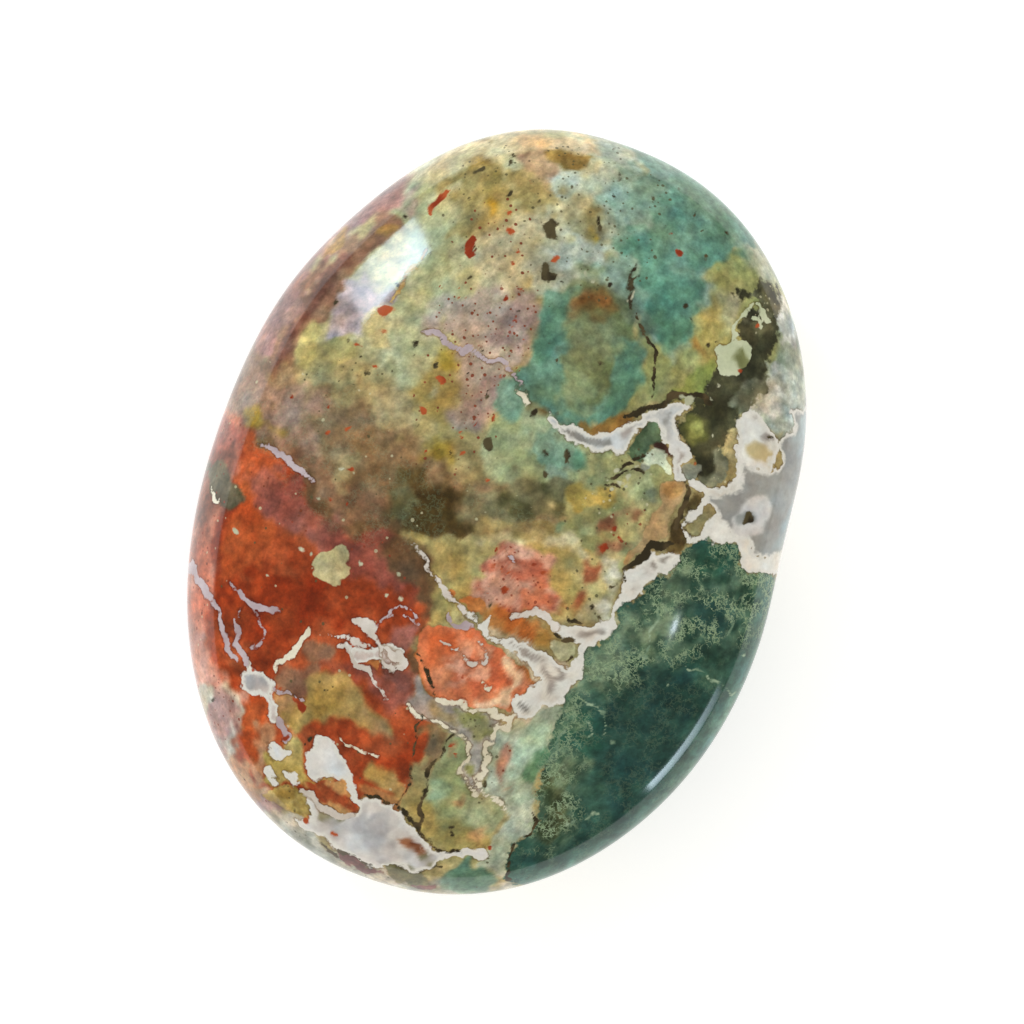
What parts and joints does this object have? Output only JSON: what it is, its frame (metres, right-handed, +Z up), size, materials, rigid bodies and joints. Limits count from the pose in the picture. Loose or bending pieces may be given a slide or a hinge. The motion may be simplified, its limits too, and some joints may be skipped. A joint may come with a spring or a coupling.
{
  "type": "unicorn jasper palm stone",
  "caption": "Smooth oval palm stone of polished multicoloured jasper, domed on both faces, lying on a small flat spot.",
  "frame": {"origin": "the middle of the stone's outline, at the height of the small flat spot that it rests on", "axes": "+Z up through the domed show face, +Y along the stone's length towards its pale end, +X across it towards the dark green side"},
  "size_m": [0.0495, 0.066, 0.022],
  "materials": {
    "polished_jasper": "polished"
  },
  "bodies": {
    "root": {"jasper_stone": "polished_jasper"}
  },
  "joints": []
}
